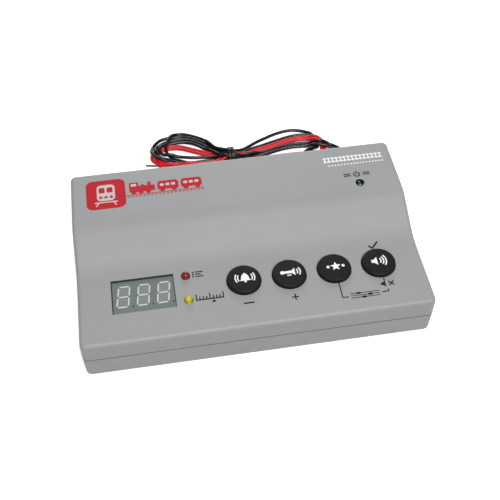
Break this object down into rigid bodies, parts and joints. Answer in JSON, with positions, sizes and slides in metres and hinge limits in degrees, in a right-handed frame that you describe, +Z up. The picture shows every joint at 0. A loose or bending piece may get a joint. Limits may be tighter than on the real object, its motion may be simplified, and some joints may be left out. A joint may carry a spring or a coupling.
{
  "type": "train set controller",
  "caption": "Desktop model train controller: sloped two-shell case with push buttons, small digit display, indicator LEDs and a tied hank of hook-up wires.",
  "frame": {"origin": "middle of the case's footprint, on the surface it stands on", "axes": "+X to the right across the case's front, +Y from the front panel to the rear wall, +Z up"},
  "size_m": [0.1288, 0.1217, 0.0274],
  "materials": {
    "case_plastic": "fine matt moulded texture",
    "button_plastic": "matt black",
    "switch_plastic": "matt black",
    "plunger_plastic": "semi-matt",
    "display_face": "smooth potted face",
    "red_led": "clear tinted epoxy",
    "yellow_led": "clear tinted epoxy",
    "green_led": "clear tinted epoxy",
    "spacer_plastic": "matt black",
    "board_laminate": "solder mask",
    "chip_epoxy": "moulded epoxy",
    "relay_case": "moulded",
    "capacitor_sleeve": "shrink sleeve",
    "fuse_epoxy": "dipped epoxy",
    "plated_steel": "zinc plated",
    "rubber": "matt",
    "black_insulation": "smooth pvc",
    "red_insulation": "smooth pvc",
    "tie_nylon": "moulded nylon",
    "tinned_copper": "twisted tinned strands"
  },
  "bodies": {
    "case": {"top_cover": "case_plastic", "bottom_cover": "case_plastic", "rubber_foot_1": "rubber", "rubber_foot_2": "rubber", "rubber_foot_3": "rubber", "rubber_foot_4": "rubber", "case_screw_1": "plated_steel", "case_screw_2": "plated_steel", "case_screw_3": "plated_steel", "case_screw_4": "plated_steel", "board_screw_1": "plated_steel", "board_screw_2": "plated_steel", "board_screw_3": "plated_steel", "board_screw_4": "plated_steel", "bell_switch_body": "switch_plastic", "horn_switch_body": "switch_plastic", "aux_switch_body": "switch_plastic", "volume_switch_body": "switch_plastic", "display_module": "display_face", "upper_indicator_led": "red_led", "lower_indicator_led": "yellow_led", "power_led": "green_led", "power_led_spacer": "spacer_plastic", "main_board": "board_laminate", "microcontroller_socket": "switch_plastic", "microcontroller": "chip_epoxy", "reversing_relay": "relay_case", "voltage_regulator": "chip_epoxy", "filter_capacitor_1": "capacitor_sleeve", "filter_capacitor_2": "capacitor_sleeve", "bridge_rectifier": "chip_epoxy", "clock_crystal": "plated_steel", "resistor_network": "fuse_epoxy", "resettable_fuse": "fuse_epoxy", "driver_transistor_1": "chip_epoxy", "driver_transistor_2": "chip_epoxy", "driver_transistor_3": "chip_epoxy", "wire_grommet": "rubber", "inner_wire_tie": "tie_nylon", "black_wire_1": "black_insulation", "black_wire_1_bare_end": "tinned_copper", "black_wire_2": "black_insulation", "black_wire_2_bare_end": "tinned_copper", "red_wire_1": "red_insulation", "red_wire_1_bare_end": "tinned_copper", "red_wire_2": "red_insulation", "red_wire_2_bare_end": "tinned_copper", "wire_hank": "black_insulation", "hank_tie": "tie_nylon"},
    "bell_key": {"bell_button": "button_plastic", "bell_switch_plunger": "plunger_plastic"},
    "horn_key": {"horn_button": "button_plastic", "horn_switch_plunger": "plunger_plastic"},
    "aux_key": {"aux_button": "button_plastic", "aux_switch_plunger": "plunger_plastic"},
    "volume_key": {"volume_button": "button_plastic", "volume_switch_plunger": "plunger_plastic"}
  },
  "joints": [
    {"name": "bell_press", "type": "slide", "parent": "case", "child": "bell_key", "axis": [0, 0, -1], "range_m": [0, 0.0005], "stiffness_N_per_m": 3000},
    {"name": "horn_press", "type": "slide", "parent": "case", "child": "horn_key", "axis": [0, 0, -1], "range_m": [0, 0.0005], "stiffness_N_per_m": 3000},
    {"name": "aux_press", "type": "slide", "parent": "case", "child": "aux_key", "axis": [0, 0, -1], "range_m": [0, 0.0005], "stiffness_N_per_m": 3000},
    {"name": "volume_press", "type": "slide", "parent": "case", "child": "volume_key", "axis": [0, 0, -1], "range_m": [0, 0.0005], "stiffness_N_per_m": 3000}
  ]
}
